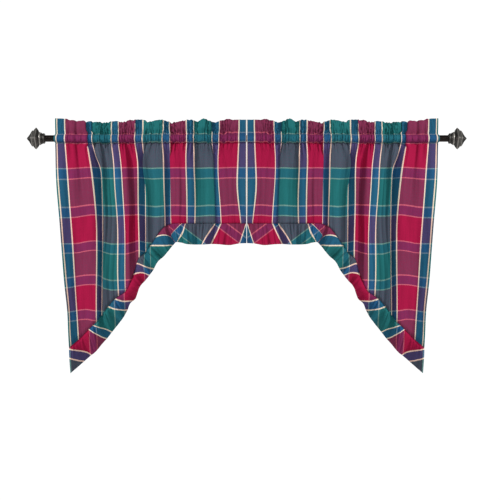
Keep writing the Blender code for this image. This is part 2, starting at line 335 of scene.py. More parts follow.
# the same between the small gathers, and the places and widths on the cloth where both are felt
weaveShift = {
    "ride": 0.0062, "rides": (0.0105, 51), "drawn": 0.15, "upperReach": 0.008,
    "lowerReach": 0.010, "upperPlace": (-0.006, 0.016), "lowerPlace": (0.034, 0.014),
}


def stitchShift(flat):
    # the weave rides up and down a little between the gathers
    ride = weaveShift["ride"] * tightAt(flat) * wander(flat, *weaveShift["rides"])
    return ride - weaveShift["drawn"] * pinchDepth(flat, 0.0)


def riseAt(flat, cloth, row):
    # how far the weave is shifted near the upper or the lower row of stitching
    return columnAt(weaveRise, row, flat) * hump(cloth, *weaveShift[row + "Place"])


# where the cloth on the rod is tucked sideways over itself: how far out and how far forward it is
# moved, on the pocket and on the heading above it
sideTucks = readTable("flat pocketOut pocketForward headOut headForward", [
    (0, 0, 0, 0, 0), (80, 0, 0, 0, 0), (96, -2, 0, -1, 0), (108, -4.5, 1, -2, 0.5),
    (117, -6.5, 2.5, -3.5, 2), (124, -9, 4, -5, 4), (131, 5, -3.5, 7, -4), (146, 9, -4, 9, -3.5),
    (156, 6, -2.5, 6, -1.5), (163, 2, 0, -2, 2.5), (168.5, 1, 1, 7, -2.5), (174, 0, 1.5, 5, -1.5),
    (186, 0, 0, 0, 0), (384, 0, 0, 0, 0), (392, 0, 0, -3, 3), (402, 0, 0, 3, -3), (412, 0, 0, 0, 0),
    (782, 0, 0, 0, 0), (794, 0, 0, -3, 3), (805, 0, 0, 5, -4), (818, 0, 0, 3, 0), (832, 0, 0, 0, 0),
    (968, 0, 0, 0, 0),
])


def tuckAt(flat, head, pocket):
    # outward and forward shift of the sideways tucks; head and pocket are the shares of each
    low = [columnAt(sideTucks, name, flat) for name in ("pocketOut", "pocketForward")]
    high = [columnAt(sideTucks, name, flat) for name in ("headOut", "headForward")]
    return [pocket * (under + head * (over - under)) for under, over in zip(low, high)]


# where the bands of the weave lie down the skirt
weaveDrop = readTable("height cloth", [
    (-857, 905), (-757, 801), (-657, 701), (-624, 664), (-541, 571), (-506, 534), (-412, 434),
    (-377.5, 397), (-280, 304), (-243.2, 267), (-143.4, 167), (-106.4, 130), (-16.3, 38.5),
])

# places where the skirt is drawn sideways: centre on the flat cloth, distance below the stitching,
# how far outward, and the sizes of the place
skirtPulls = readTable("flat below out width height", [
    (172, 48, 5, 16, 30), (0, 140, 3.2, 25, 110), (0, 610, -3.8, 25, 75),
])

# the loose cloth below the rod
skirt = {
    "settle": 0.12,  # distance below the stitching at which the ripples are full
    "ripple": 0.0012,
    "ripples": (0.034, 21),  # length of the waves and where their random pattern starts
    "rippleSway": 0.012, "swayTurn": 9, "lean": 0.0018, "leans": (0.05, 31), "leanTurn": 21,
    "leanDrift": 9, "leanEdge": 0.02,
    "pucker": 0.0009,  # along the seam
    "puckers": (0.012, 41), "puckerReach": 0.018,
    "tuck": 0.0007,  # back, over the ruffle's seam
    "tuckReach": 0.005,
    "swell": 0.0045,  # just under the rod
    "swellReach": 0.014, "crinkleShare": 0.5, "crinkleReach": 0.045, "crinkleStart": 0.006,
    "sideTuckReach": 0.022,
}


def skirtPoints(flat, height):
    # points on the middle of the skirt's cloth, and their places down the flat cloth
    bottom = seamHeight(flat)
    top = drape["lowerStitch"]
    drop = top - height
    out, depth = roundedFold(flat, drop / (top - bottom))
    tight = tightAt(flat)
    settle = easeIn(drop / skirt["settle"])
    swayed = flat + skirt["rippleSway"] * np.sin(height * skirt["swayTurn"])
    ripple = skirt["ripple"] * settle * gathers(swayed, *skirt["ripples"])
    lean = np.sin(height * skirt["leanTurn"] + skirt["leanDrift"] * flat)
    lean = skirt["lean"] * settle * lean * wander(flat, *skirt["leans"])
    lean = lean * insideEdges(flat, skirt["leanEdge"])
    pucker = skirt["pucker"] * gathers(flat, *skirt["puckers"])
    pucker = pucker * np.exp(-np.maximum(height - bottom, 0) / skirt["puckerReach"])
    tuck = skirt["tuck"] * easeIn((bottom + skirt["tuckReach"] - height) / skirt["tuckReach"])
    swell = skirt["swell"] * tight * hump(drop, skirt["swellReach"], skirt["swellReach"])
    crinkle = skirt["crinkleShare"] * crinkleDepth(flat, height, 1) * tight
    crinkle = crinkle * np.exp(-drop / skirt["crinkleReach"]) * easeIn(drop / skirt["crinkleStart"])
    sideways, forward = tuckAt(flat, 0, easeIn(1 - drop / skirt["sideTuckReach"]))
    for place, below, pull, across, tall in zip(*skirtPulls.values()):
        sideways = sideways + pull * hump(flat, place, across) * hump(drop, below, tall)
    out = out + pinchPull(flat, drop) + sideways
    y = pinchDepth(flat, drop) + tuck - drape["layerOffset"] - depth
    y = y - swell - crinkle - ripple - pucker - forward
    cloth = smoothThrough(weaveDrop["height"], weaveDrop["cloth"], height + sagAt(flat, height))
    cloth = cloth + stitchShift(flat) * np.exp(-drop / weaveShift["lowerReach"])
    cloth = cloth + riseAt(flat, cloth, "lower")
    return np.stack([out + lean, y, height], -1), cloth


# the cloth seen end on, from the hem behind the pocket, over the top and down to the stitching
# under the rod. top: share that follows the uneven top edge. wave and crimp: shares of the folds and
# of the small gathers. cloth: place down the flat cloth
turns = readTable("back up top wave crimp cloth", [
    (0.95, -21.3, 0, 1000, 1000, -163), (0.95, -16.3, 0, 1000, 1000, -158),
    (5.5, -14.8, 0, 800, 900, -153), (11.5, -10.6, 0, 500, 700, -146),
    (15.4, -4.6, 0, 400, 600, -139), (16.2, 1.2, 0, 300, 500, -133),
    (13.9, 6.3, 0, 100, 400, -127.5), (9.2, 10, 0, 0, 300, -121.5),
    (4.9, 12.9, 0, 500, 600, -116.5), (0.95, 16.5, 0, 1000, 1000, -111),
    (2.6, 27, 200, 1400, 900, -100), (4, 40, 450, 2000, 800, -87), (4.2, 54, 750, 2600, 800, -73),
    (3, 63.5, 1000, 3000, 800, -63), (1.2, 66.6, 1000, 3000, 800, -59.2),
    (0, 67, 1000, 3000, 800, -57.9), (-1.2, 66.6, 1000, 3000, 800, -56.6),
    (-3, 63.5, 1000, 3000, 800, -53), (-4.2, 54, 750, 2600, 800, -44),
    (-4, 40, 450, 2000, 800, -29.5), (-2.6, 27, 200, 1400, 900, -15.5),
    (-0.95, 16.5, 0, 1000, 1000, -4.4), (-4.4, 14.5, 0, 500, 900, -1.6),
    (-9.4, 12.2, 0, 0, 900, 2.6), (-15.2, 8.2, 0, 100, 900, 9.5), (-19, 2.2, 0, 300, 900, 17),
    (-19, -4.6, 0, 400, 900, 24), (-14.8, -10.6, 0, 500, 900, 31),
    (-7.6, -14.2, 0, 800, 900, 35.2), (-0.95, -16.3, 0, 1000, 1000, 38.5),
])

# upper edge of the heading
topEdge = readTable("out height", [
    (1, 67), (44, 69), (66, 72), (95, 65.5), (124, 61.5), (155, 73), (176, 65), (200, 69),
    (245, 63), (270, 61.5), (315, 69), (335, 65.5), (358, 61.5), (378, 69), (424, 69), (450, 61.5),
    (480, 65.5), (504, 61.5), (530, 62), (560, 65), (576, 58), (592, 65), (636, 67), (656, 72),
    (694, 72),
])

# the cloth between and above the rows of stitching
heading = {
    "pinchReach": 0.6,
    "freeBy": 0.012,  # height over the stitching at which the heading is loose
    "pocketCrinkle": 0.8, "sway": 0.003, "sways": (0.030, 61), "swayBy": 0.02, "swayEdge": 0.03,
    "tuckRise": (0.02, 0.014), "fullRise": (0.002, 0.01), "dip": 0.5, "dipBelow": 0.012,
    "flare": 0.004,  # the pocket's mouth
    "flareReach": 0.012,
}

# one round puff of the heading stands forward
puff = {"out": 0.155, "width": 0.017, "forward": 0.009, "rise": (0.022, 0.02)}

# least distance of the cloth from the rod's axis, and how gently it is met
clearOfRod = {"radius": 0.0142, "ease": 0.0012}


def turnPoints(flat, station):
    # points on the heading and the pocket; station counts along the rows of turns
    cell = np.clip(np.floor(station).astype(int), 0, len(turns["back"]) - 2)
    read = {}
    for name, values in turns.items():
        slopes = np.gradient(values)
        ends = (values[cell], values[cell + 1], slopes[cell], slopes[cell + 1])
        read[name] = hermite(station - cell, *ends)
    back, up, sewn = read["back"], read["up"], read["cloth"]
    stitch = drape["upperStitch"]
    out, depth = roundedFold(flat, np.zeros_like(flat))
    edge = smoothThrough(topEdge["out"], topEdge["height"], out)
    lift = (edge - drape["topHeight"]) * read["top"]
    inFront = sewn >= drape["topPlace"]
    above = np.maximum(up - stitch, 0)
    free = easeIn(above / heading["freeBy"])
    reach = heading["pinchReach"]
    crinkle = crinkleDepth(flat, up, 0) * tightAt(flat)
    sway = heading["sway"] * easeIn(above / heading["swayBy"])
    sway = sway * wander(flat, *heading["sways"]) * insideEdges(flat, heading["swayEdge"])
    bulge = hump(out, puff["out"], puff["width"]) * easeFrom(up, *puff["rise"])
    onHead = easeFrom(up, *heading["tuckRise"])
    tuck, overlap = tuckAt(flat, onHead, np.ones_like(flat))
    y = back - depth * read["wave"] - puff["forward"] * bulge * inFront - overlap
    full = easeFrom(np.abs(back), *heading["fullRise"])  # 1 where it is off the rod
    y = y + pinchDepth(flat, above, reach) * read["crimp"]
    y = y - (free + heading["pocketCrinkle"] * (1 - free) * full) * crinkle
    dip = heading["dip"] * pinchDepth(flat, heading["dipBelow"] + 0 * above) * read["top"]
    upper = np.exp(-np.abs(up - stitch) / weaveShift["upperReach"])
    lower = np.exp(-np.abs(up - drape["lowerStitch"]) / weaveShift["lowerReach"])
    cloth = sewn + stitchShift(flat) * np.maximum(upper, lower) * inFront
    cloth = cloth + (riseAt(flat, sewn, "upper") + riseAt(flat, sewn, "lower")) * inFront
    flare = heading["flare"] * np.exp(-flat / heading["flareReach"]) * (np.abs(up) < stitch)
    flare = flare * np.cos(up / stitch * np.pi / 2)
    out = out + sway + flare + tuck + pinchPull(flat, above, reach) * read["crimp"]
    up = up + lift - dip
    radius, least = np.hypot(y, up), clearOfRod["radius"]
    wider = (radius + least + np.hypot(radius - least, clearOfRod["ease"])) / 2 / radius
    return np.stack([out, y * wider, up * wider], -1), cloth, sewn


def laidRow(place, across, down, flats, sewn):
    # one row in space, on the weave and on the cloth as it was cut
    return place, np.stack([across, down], -1), np.stack([flats, sewn], -1)


def panelGrid():
    flats = np.linspace(0, panelWidth, drape["columns"] + 1)
    across = flats - drape["cutPast"] * (1 - easeIn(flats / drape["cutReach"]))
    rows = []
    for station in np.linspace(0, len(turns["back"]) - 1, drape["turnRows"] + 1):
        place, down, sewn = turnPoints(flats, np.full_like(flats, station))
        rows.append(laidRow(place, across, down, flats, sewn))
    bottom, top = seamHeight(flats), drape["lowerStitch"]
    for share in np.linspace(0, 1, drape["skirtRows"] + 1)[1:] ** drape["rowSpacing"]:
        height = top + share * (bottom - top)
        place, down = skirtPoints(flats, height)
        rows.append(laidRow(place, across, down, flats, drape["stitchRows"][-1] + top - height))
    return [np.array(grid) for grid in zip(*rows)]


# free edge of the ruffle, by the place on the panel that it hangs from
ruffleEdge = readTable("flat out height forward", [
    (0, 641, -853, -18), (22, 616, -831, -20), (60, 578, -797, -34), (100, 549, -774, -20),
    (130, 531, -751, -35), (167, 503, -719, -20), (210, 476, -684, -32), (240, 451, -653, -12),
    (267, 436, -624, -24), (285, 424, -599, -8), (304, 407, -583, -16), (345, 386, -535, 4),
    (370, 369, -515, -6), (397, 351, -495, 12), (415, 338, -474, -4), (434, 326, -452, 14),
    (470, 302, -428, -8), (500, 286, -411, 10), (534, 269, -388, -6), (571, 255, -376, 8),
    (620, 237, -378, -8), (664, 213, -384, 12), (701, 188, -385, -6), (750, 159, -385, 10),
    (801, 130, -383, -8), (838, 104, -384, 8), (886, 64, -387, -6), (931, 24, -381, 8),
    (968, 1, -380, 2),
])

# the ruffle's crosswise stripes, from tip to centre: the place on the panel that each lies under at the
# seam, at two levels and at the free edge, then its place along the flat strip
ruffleStripes = readTable("seam high low edge along", [
    (-110, -74, -51, -20, 1068), (-30, -4, 14, 42, 968), (-6, 27, 48, 75, 931),
    (93, 116, 132, 156, 838), (113, 143, 162, 187, 801), (211, 231, 246, 268, 701),
    (250, 268, 279, 296, 664), (352, 366, 378, 397, 571), (377, 391, 401, 415, 534),
    (460, 477, 494, 534, 434), (484, 517, 539.5, 559, 402), (488, 521, 541, 559.4, 397),
    (641, 592, 543, 560.6, 304), (643, 594, 544.5, 561, 299), (656, 645, 630, 580, 267),
    (790, 776, 765, 745, 167), (838, 827, 818, 803, 130), (967, 954, 944, 929, 37),
    (1005, 992, 983, 968, 0),
])

# the ruffle's lengthwise stripes on the slope: distance from the centre, and place across the weave
slopeGrain = readTable("out across", [
    (200, 560), (278, 257), (350, 167), (372, 130), (445, 37), (480, 0), (544.5, -100), (571, -137),
    (639, -230), (700, -310),
])

ruffle = {
    "setback": 0.0019, "bulge": 0.008, "bulgeSkew": 0.7, "swingSkew": 1.2,
    "freeBy": 0.14,  # share of the way down at which the gathers are full
    "gatherDepth": 0.0032, "gathers": (0.0135, 71), "gatherReach": 0.45, "ripple": 0.0030,
    "ripples": (0.027, 81), "hemWidth": 0.007, "hemRows": 4, "columns": 420, "rows": 44,
    "rowSpacing": 1.1, "flat": (1.036, 0.085),
    "seamRows": (-1, -0.5),  # in the seam, behind the panel
    "slopeEnd": 0.56,  # where the slope meets the level part, and how long the change is
    "slopeFade": 0.08, "stripeLevels": (0, 0.35, 0.6, 1.0), "levelTop": -0.3085,
    "levelDown": 0.98,  # how the weave runs across the level part
    "levelOut": 0.74, "levelStart": 0.0524,
}


def ruffleGrid():
    flats = np.linspace(0, panelWidth, ruffle["columns"] + 1)
    bottom = seamHeight(flats)
    edge = {name: columnAt(ruffleEdge, name, flats) for name in ruffleEdge}
    seam, _ = skirtPoints(flats, bottom)
    path = np.concatenate([[0], np.cumsum(np.hypot(np.diff(seam[:, 0]), np.diff(seam[:, 2])))])
    gather = ruffle["gatherDepth"] * gathers(path, *ruffle["gathers"])
    ripple = ruffle["ripple"] * gathers(path, *ruffle["ripples"])
    slope = easeIn((ruffle["slopeEnd"] - flats) / ruffle["slopeFade"])
    hanging = np.linspace(0, 1, ruffle["rows"] - 1) ** ruffle["rowSpacing"]
    stations = np.array([ruffleStripes[name] for name in ("seam", "high", "low", "edge")])
    levels = np.array(ruffle["stripeLevels"])
    rows = []
    for share in (*ruffle["seamRows"], *hanging):
        stripes = smoothThrough(levels, stations, np.full(stations.shape[1], max(share, 0)))
        along = np.interp(flats, np.maximum.accumulate(stripes), ruffleStripes["along"])
        if share < 0:
            place, _ = skirtPoints(flats, bottom - share * drape["seamAllowance"])
            place[:, 1] += ruffle["setback"]
        else:
            place = seam.copy()
            place[:, 0] += share * (edge["out"] - seam[:, 0])
            place[:, 2] += share * (edge["height"] - seam[:, 2])
            free = easeIn(share / ruffle["freeBy"])
            place[:, 1] += ruffle["setback"] - share ** ruffle["swingSkew"] * edge["forward"]
            place[:, 1] -= free * ruffle["bulge"] * np.sin(np.pi * share ** ruffle["bulgeSkew"])
            place[:, 1] -= free * gather * np.exp(-share / ruffle["gatherReach"])
            place[:, 1] -= free * share**0.5 * ripple
        level = ruffle["levelDown"] * (ruffle["levelTop"] - place[:, 2])
        level = level + ruffle["levelOut"] * place[:, 0] - ruffle["levelStart"]
        upright = smoothThrough(slopeGrain["out"], slopeGrain["across"], place[:, 0])
        down = level + slope * (upright - level)
        rows.append(laidRow(place, along, down, flats, share * ruffle["flat"][1] + 0 * flats))
    return [np.array(grid) for grid in zip(*rows)]


def hemWeights(shape, width, bottomRows):
    # 1 on the double cloth of the hems, 0 on the single cloth
    weight = np.zeros(shape)
    flats = np.linspace(0, panelWidth, shape[1])
    weight[:, (flats < width) | (flats > panelWidth - width)] = 1
    weight[shape[0] - bottomRows :, :] = 1
    return weight


def stitchMap(cloth, across, down):
    # signed distance past the nearest stitched row: across is the width in from each side hem,
    # down lists the rows
    flats = np.linspace(0, panelWidth, cloth.shape[1])[None, :] + 0 * cloth[..., 0]
    sides = np.minimum(flats - across, flats[:, -1:] - across - flats)
    middles = [-np.inf] + [(a + b) / 2 for a, b in zip(down, down[1:])] + [np.inf]
    rows = np.zeros(flats.shape)
    for number, row in enumerate(down):
        inside = (cloth[..., 1] > middles[number]) & (cloth[..., 1] <= middles[number + 1])
        rows = np.where(inside, (cloth[..., 1] - row) * (-1) ** number, rows)
    return np.stack([sides, rows], -1)


def linkObject(name, data):
    obj = bpy.data.objects.new(name, data)
    bpy.context.scene.collection.objects.link(obj)
    return obj


def clothSheet(name, points, cloth, stitches, weight, side, material):
    rows, columns = points.shape[:2]
    places = points.reshape(-1, 3).copy()
    places[:, 0] *= side
    index = np.arange(rows * columns).reshape(rows, columns)
    quads = [index[:-1, :-1], index[1:, :-1], index[1:, 1:], index[:-1, 1:]]
    quads = np.stack(quads[::-1] if side > 0 else quads, -1).reshape(-1, 4)
    mesh = bpy.data.meshes.new(name)
    mesh.from_pydata(places.tolist(), [], quads.tolist())
    for layer, values in (("cloth", cloth), ("stitches", stitches)):
        uvMap = mesh.uv_layers.new(name=layer)
        uvMap.data.foreach_set("uv", values.reshape(-1, 2)[quads.reshape(-1)].reshape(-1))
    mesh.shade_smooth()
    mesh.materials.append(material)
    sheet = linkObject(name, mesh)
    group = sheet.vertex_groups.new(name="hem")
    group.add(index.reshape(-1)[weight.reshape(-1) > 0].tolist(), 1.0, "REPLACE")
    solidify = sheet.modifiers.new("thickness", "SOLIDIFY")
    solidify.thickness = drape["thickness"]
    solidify.offset = 0
    solidify.vertex_group = "hem"
    solidify.thickness_vertex_group = drape["singleShare"]
    return sheet


turning = {"mergeGap": 1e-6, "sharpAngle": 0.6}


def turnedMesh(name, along, radii, worn):
    # rings round the rod's axis, closed at a ring of no radius
    rings, sides = radii.shape
    angles = np.linspace(0, 2 * np.pi, sides, endpoint=False)
    lengths = np.broadcast_to(along[:, None], radii.shape)
    places = np.stack([lengths, radii * np.cos(angles), radii * np.sin(angles)], -1)
    index = np.arange(rings * sides).reshape(rings, sides)
    ahead = np.roll(index, -1, axis=1)
    quads = np.stack([index[:-1], ahead[:-1], ahead[1:], index[1:]], -1).reshape(-1, 4)
    mesh = bpy.data.meshes.new(name)
    mesh.from_pydata(places.reshape(-1, 3).tolist(), [], quads.tolist())
    # the worn values go on as a point attribute: rubbed wear and, on the finial, a painted highlight
    wearAndHighlight = mesh.attributes.new("worn", "FLOAT", "POINT")
    wearAndHighlight.data.foreach_set("value", worn.reshape(-1).astype(np.float32))
    shape = bmesh.new()
    shape.from_mesh(mesh)
    bmesh.ops.remove_doubles(shape, verts=shape.verts, dist=turning["mergeGap"])
    bmesh.ops.recalc_face_normals(shape, faces=shape.faces)
    shape.to_mesh(mesh)
    shape.free()
    mesh.shade_smooth()
    mesh.set_sharp_from_angle(angle=turning["sharpAngle"])
    return linkObject(name, mesh)


# a finial from its tip to its mouth, in millimetres. corner: how far the corners stand from the axis.
# square: 0 is round, 1000 has four flat faces, more has hollow faces. worn: how far it is rubbed bare, and
# a painted highlight: it is highest on the rings, where it paints their bright shine, high on the raised
# edges, and 0 in the hollows
finialProfile = readTable("along corner square worn", [
    (0, 0, 1150, 1000), (0.7, 1.4, 1150, 900), (2.8, 4.3, 1170, 300), (6.4, 8.2, 1200, 60),
    (10, 13.4, 1220, 40), (13.7, 19.8, 1220, 60), (17.3, 25.8, 1180, 200), (19.4, 28.4, 1120, 800),
    (20.8, 29.3, 1100, 1000), (22.4, 29.2, 1090, 600), (23.4, 28.4, 1080, 100),
    (24, 28.2, 1080, 0), (24.8, 29.8, 1090, 500), (25.8, 31.6, 1110, 900),
    (27.4, 33.2, 1150, 400), (29.6, 35.6, 1190, 150), (31.9, 38, 1190, 250),
    (33.4, 39.2, 1160, 800), (34.6, 39.4, 1130, 1000), (36, 38.6, 1090, 700),
    (39.2, 34.9, 1000, 120), (42, 31.2, 840, 60), (43.8, 28.6, 560, 60), (45, 25.6, 220, 40),
    (45.4, 23, 60, 0), (46, 22.6, 0, 300), (46.8, 23.6, 0, 1250), (49, 24.2, 0, 1250),
    (51.4, 23.2, 0, 1250), (52.4, 21.4, 0, 400), (53, 20.2, 0, 0), (53.6, 20.1, 0, 0),
    (54.2, 20.6, 0, 120), (55.2, 20.9, 0, 200), (56.4, 20.5, 0, 120), (57.2, 19.2, 0, 0),
    (58, 18.2, 0, 0), (58.8, 18.1, 0, 50), (60.2, 18.7, 0, 80), (62.4, 18.9, 0, 150),
    (64.6, 18.6, 0, 100), (65.8, 17.9, 0, 250), (66.4, 16.6, 0, 100), (66.5, 13.6, 0, 0),
    (66.2, 12.3, 0, 0), (61, 12.3, 0, 0),
])
finial = {
    # wornAndHighlightShow: how strongly the profile's rubbed wear and painted highlight show
    "tip": 0.7985, "sides": 144, "cornerRadius": 0.05, "steps": 5, "wornAndHighlightShow": 0.8,
    "rubbedAndHighlit": 0.7,  # corners are rubbed too, and given a painted highlight, where the section is square
    "rubAndHighlightWidth": 0.10, "rubAndHighlightFrom": 0.4,
}


def makeFinial(name, side):
    count = len(finialProfile["along"])
    stations = np.linspace(0, count - 1, (count - 1) * finial["steps"] + 1)
    read = {key: smoothThrough(np.arange(count), values, stations) for key, values in finialProfile.items()}
    angles = np.linspace(0, 2 * np.pi, finial["sides"], endpoint=False)
    ease = finial["cornerRadius"]
    square = np.hypot(np.cos(angles), ease) + np.hypot(np.sin(angles), ease)
    square = square / (np.hypot(1, ease) + ease)
    radii = read["corner"][:, None] * square[None, :] ** -read["square"][:, None]
    corner = np.abs((angles + np.pi / 4) % (np.pi / 2) - np.pi / 4)
    squareness = np.clip(read["square"][:, None] - finial["rubAndHighlightFrom"], 0, 1)
    # the square corners get rubbed wear and a painted edge highlight
    rubbedAndHighlit = finial["rubbedAndHighlit"] * hump(corner, 0, finial["rubAndHighlightWidth"]) * squareness
    # rubbed wear and painted highlight together, lightest on the rings and raised edges
    worn = np.clip(read["worn"][:, None] * finial["wornAndHighlightShow"] + rubbedAndHighlit, 0, 1)
    return turnedMesh(name, side * (finial["tip"] - read["along"]), radii, worn)


rod = {"halfLength": 0.752, "radius": 0.012, "sides": 96, "rings": 60, "chamfer": 0.0008}


def makeRod():
    half, chamfer = rod["halfLength"], rod["chamfer"]
    barrel = np.linspace(-half + chamfer, half - chamfer, rod["rings"])
    along = np.concatenate([[-half, -half], barrel, [half, half]])
    radius = np.full(len(along), rod["radius"])
    radius[[1, -2]] -= chamfer
    radius[[0, -1]] = 0
    radii = np.broadcast_to(radius[:, None], (len(along), rod["sides"]))
    return turnedMesh("plainRod", along, radii, np.zeros(radii.shape))


def addNode(tree, kind, **values):
    node = tree.nodes.new("ShaderNode" + kind)
    for name, value in values.items():
        setattr(node, name, value)
    return node


def plugIn(tree, socket, value):
    # a number or a colour is set on the socket itself, and anything else is linked
    if isinstance(value, (int, float, tuple)):
        socket.default_value = value
    else:
        tree.links.new(value, socket)


def mathNode(tree, operation, first, second=None):
    node = addNode(tree, "Math", operation=operation)
    plugIn(tree, node.inputs[0], first)
    if second is not None:
        plugIn(tree, node.inputs[1], second)
    return node.outputs[0]


def times(tree, first, second):
    return mathNode(tree, "MULTIPLY", first, second)


def plus(tree, first, second):
    return mathNode(tree, "ADD", first, second)


def scaleAdd(tree, value, scale, more):
    return plus(tree, times(tree, value, scale), more)


def mixColours(tree, factor, first, second):
    node = addNode(tree, "Mix", data_type="RGBA")
    for socket, value in ((node.inputs[0], factor), (node.inputs[6], first), (node.inputs[7], second)):
        plugIn(tree, socket, value)
    return node.outputs[2]


def noiseAt(tree, vector, scale, detail):
    node = addNode(tree, "TexNoise")
    node.inputs["Scale"].default_value = scale
    node.inputs["Detail"].default_value = detail
    tree.links.new(vector, node.inputs["Vector"])
    return node.outputs["Fac"]


def uvPlaces(tree, name):
    # places across and down on a map
    split = addNode(tree, "SeparateXYZ")
    tree.links.new(addNode(tree, "UVMap", uv_map=name).outputs[0], split.inputs[0])
    return split.outputs[0], split.outputs[1]


def setSockets(shader, values):
    for socket, value in values.items():
        shader.inputs[socket].default_value = value


def newMaterial(name):
    material = bpy.data.materials.new(name)
    material.use_nodes = True
    return material, material.node_tree, material.node_tree.nodes["Principled BSDF"]


def addBump(tree, shader, height, strength, distance):
    bump = addNode(tree, "Bump")
    bump.inputs["Strength"].default_value = strength
    bump.inputs["Distance"].default_value = distance
    tree.links.new(height, bump.inputs["Height"])
    tree.links.new(bump.outputs[0], shader.inputs["Normal"])


plaid = {
    "repeat": 0.267,
    "line": 0.005,  # width of a cream line
    "crossLine": 0.0043,
    "bands": [("blue", 0.037), ("red", 0.093), ("blue", 0.037), ("green", 0.100)],
    # the yarns are mixed as the eye sees them, so these are not yet turned into light
    "yarns": {
        "cream": (0.96, 0.86, 0.76), "red": (0.60, 0.085, 0.245), "green": (0.135, 0.40, 0.405),
        "blue": (0.145, 0.325, 0.475),
    },
    "eye": 2.2, "warpShare": 0.70, "creamWarpShare": 0.90, "weaveShow": 0.2,
    "threads": 0.0007,  # pitch of the threads
    "thread": (0.36, 0.27, 0.33, 1), "threadShow": 0.6, "stitchWidth": 0.0006,
    "stitchLength": 0.0027,
    "dash": 0.72,  # share of a stitch that shows
    # scale across the threads, scale along them, and detail
    "fineStreak": (900, 9, 2), "broadStreak": (45, 8, 3),
    # how much each streak changes the colour, and where that starts
    "warpUneven": (0.26, 0.87), "weftUneven": (0.12, 0.94), "broadUneven": (0.16, 0.92),
    "finish": {
        "Roughness": 0.85, "Specular IOR Level": 0.12, "Sheen Weight": 0.02,
        "Sheen Roughness": 0.4,
    },
    "bump": (0.35, 0.0003), "stitchBump": 1.5,
}


def stripeRamp(tree, place, ramp):
    # the repeat as a ramp with hard steps: [(start, colour), ...] in shares of the repeat
    share = mathNode(tree, "FRACT", mathNode(tree, "DIVIDE", place, plaid["repeat"]))
    node = addNode(tree, "ValToRGB")
    node.color_ramp.interpolation = "CONSTANT"
    stops = node.color_ramp.elements
    while len(stops) > 1:
        stops.remove(stops[-1])
    for number, (start, colour) in enumerate(ramp):
        stop = stops[0] if number == 0 else stops.new(start)
        stop.position = start
        stop.color = (*colour, 1)
    tree.links.new(share, node.inputs[0])
    return node.outputs[0]


def stripeStops(paint, line):
    # cream lines lie between the bands, half of one at each end of the repeat
    half = line / 2 / plaid["repeat"]
    stops, start = [(0, paint("cream"))], 0
    for colour, width in plaid["bands"]:
        stops.append((start + half, paint(colour)))
        start += width / plaid["repeat"]
        stops.append((start - half, paint("cream")))
    return stops


def streaks(tree, place, other, scale, stretch, detail):
    # noise drawn out along the threads
    join = addNode(tree, "CombineXYZ")
    tree.links.new(times(tree, place, scale), join.inputs[0])
    tree.links.new(times(tree, other, stretch), join.inputs[1])
    return noiseAt(tree, join.outputs[0], 1, detail)


def stitchMask(tree):
    # 1 on the thread of the stitched rows, which shows as short dashes
    sides, levels = uvPlaces(tree, "stitches")
    rows = []
    for off, along in ((sides, levels), (levels, sides)):
        near = mathNode(tree, "LESS_THAN", mathNode(tree, "ABSOLUTE", off), plaid["stitchWidth"] / 2)
        share = mathNode(tree, "FRACT", mathNode(tree, "DIVIDE", along, plaid["stitchLength"]))
        rows.append(times(tree, near, mathNode(tree, "LESS_THAN", share, plaid["dash"])))
    return mathNode(tree, "MAXIMUM", *rows)


def plaidCloth(name):
    material, tree, shader = newMaterial(name)
    across, down = uvPlaces(tree, "cloth")
    warp = stripeRamp(tree, across, stripeStops(plaid["yarns"].get, plaid["line"]))
    weft = stripeRamp(tree, down, stripeStops(plaid["yarns"].get, plaid["crossLine"]))
    creamStops = stripeStops(lambda yarn: (float(yarn == "cream"),) * 3, plaid["line"])
    isCream = stripeRamp(tree, across, creamStops)
    # which thread is on top, square by square
    turn = 2 * np.pi / plaid["threads"]
    over = mathNode(tree, "SINE", times(tree, across, turn))
    under = mathNode(tree, "SINE", times(tree, down, turn))
    weave = times(tree, over, under)
    share = scaleAdd(tree, isCream, plaid["creamWarpShare"] - plaid["warpShare"], plaid["warpShare"])
    share = plus(tree, share, times(tree, weave, plaid["weaveShow"]))
    woven = mixColours(tree, share, weft, warp)
    # yarns of uneven thickness show as faint streaks both ways
    warpStreak = streaks(tree, across, down, *plaid["fineStreak"])
    weftStreak = streaks(tree, down, across, *plaid["fineStreak"])
    broadStreak = streaks(tree, across, down, *plaid["broadStreak"])
    streak = scaleAdd(tree, warpStreak, *plaid["warpUneven"])
    streak = times(tree, streak, scaleAdd(tree, weftStreak, *plaid["weftUneven"]))
    streak = times(tree, streak, scaleAdd(tree, broadStreak, *plaid["broadUneven"]))
    stitch = stitchMask(tree)
    woven = mixColours(tree, times(tree, stitch, plaid["threadShow"]), woven, plaid["thread"])
    shade = addNode(tree, "VectorMath", operation="SCALE")
    tree.links.new(woven, shade.inputs[0])
    tree.links.new(streak, shade.inputs["Scale"])
    light = addNode(tree, "Gamma")
    light.inputs["Gamma"].default_value = plaid["eye"]
    tree.links.new(shade.outputs[0], light.inputs["Color"])
    tree.links.new(light.outputs[0], shader.inputs["Base Color"])
    setSockets(shader, plaid["finish"])
    height = plus(tree, mathNode(tree, "ABSOLUTE", weave), warpStreak)
    height = plus(tree, height, times(tree, stitch, plaid["stitchBump"]))
    addBump(tree, shader, height, *plaid["bump"])
    return material


